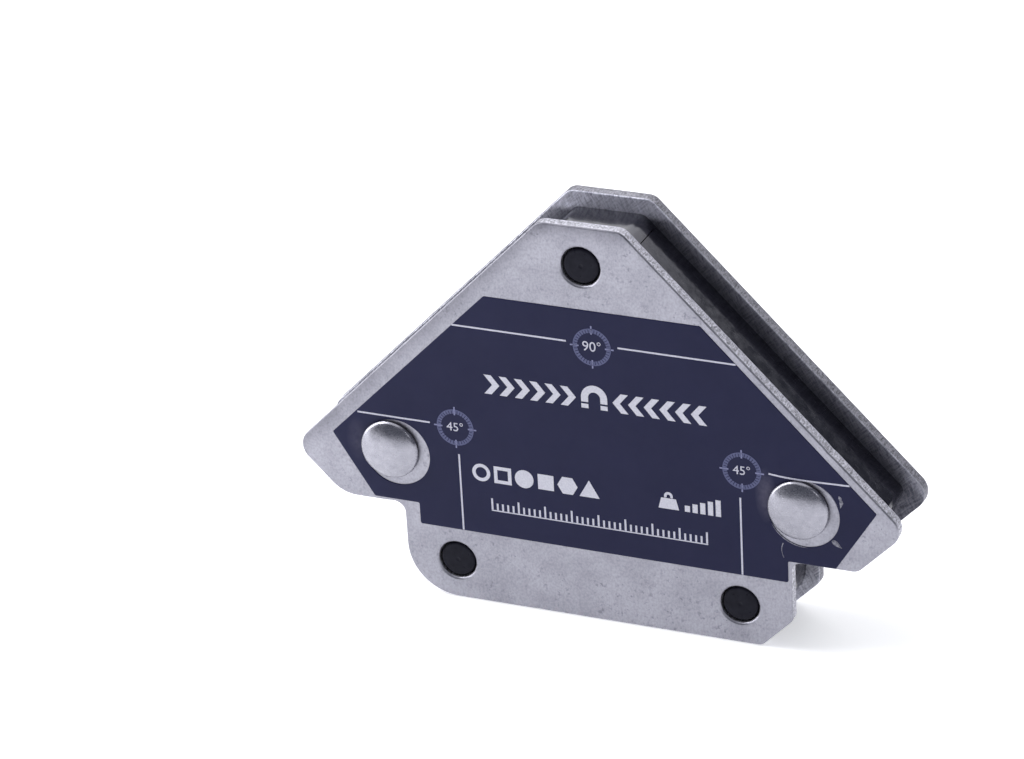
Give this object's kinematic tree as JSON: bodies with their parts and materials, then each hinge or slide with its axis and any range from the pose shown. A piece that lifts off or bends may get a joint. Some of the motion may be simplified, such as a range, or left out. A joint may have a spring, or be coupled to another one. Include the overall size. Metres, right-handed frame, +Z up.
{
  "type": "welding magnet holder",
  "caption": "Arrow-shaped magnetic welding square: two steel plates riveted over a magnet core, holding work at set angles.",
  "frame": {"origin": "middle of the footprint, on the surface the holder stands on, midway between the two plates", "axes": "+Z up to the narrow top edge, +X to the right along the base, the labelled front plate faces -Y"},
  "size_m": [0.0942, 0.0179, 0.064],
  "materials": {
    "plate_steel": "zinc-plated sheet, satin, sheared edges",
    "rivet_steel": "plated rivet head, bright satin",
    "sleeve_steel": "plain turned steel",
    "label_vinyl": "printed vinyl, semi-matt, navy with pale lines",
    "gloss_black": "glossy black moulding",
    "carrier_plastic": "black moulding",
    "ferrite": "ground dark grey ferrite"
  },
  "bodies": {
    "root": {"front_plate": "plate_steel", "rear_plate": "plate_steel", "edge_band": "gloss_black", "magnet_carrier": "carrier_plastic", "magnet_top": "ferrite", "magnet_right": "ferrite", "magnet_left": "ferrite", "front_label": "label_vinyl", "rivet_right": "rivet_steel", "rivet_left": "rivet_steel", "spacer_sleeve_right": "sleeve_steel", "spacer_sleeve_left": "sleeve_steel", "hole_plug_front_top": "gloss_black", "hole_plug_front_right": "gloss_black", "hole_plug_front_left": "gloss_black", "hole_plug_rear_top": "gloss_black", "hole_plug_rear_right": "gloss_black", "hole_plug_rear_left": "gloss_black"}
  },
  "joints": []
}
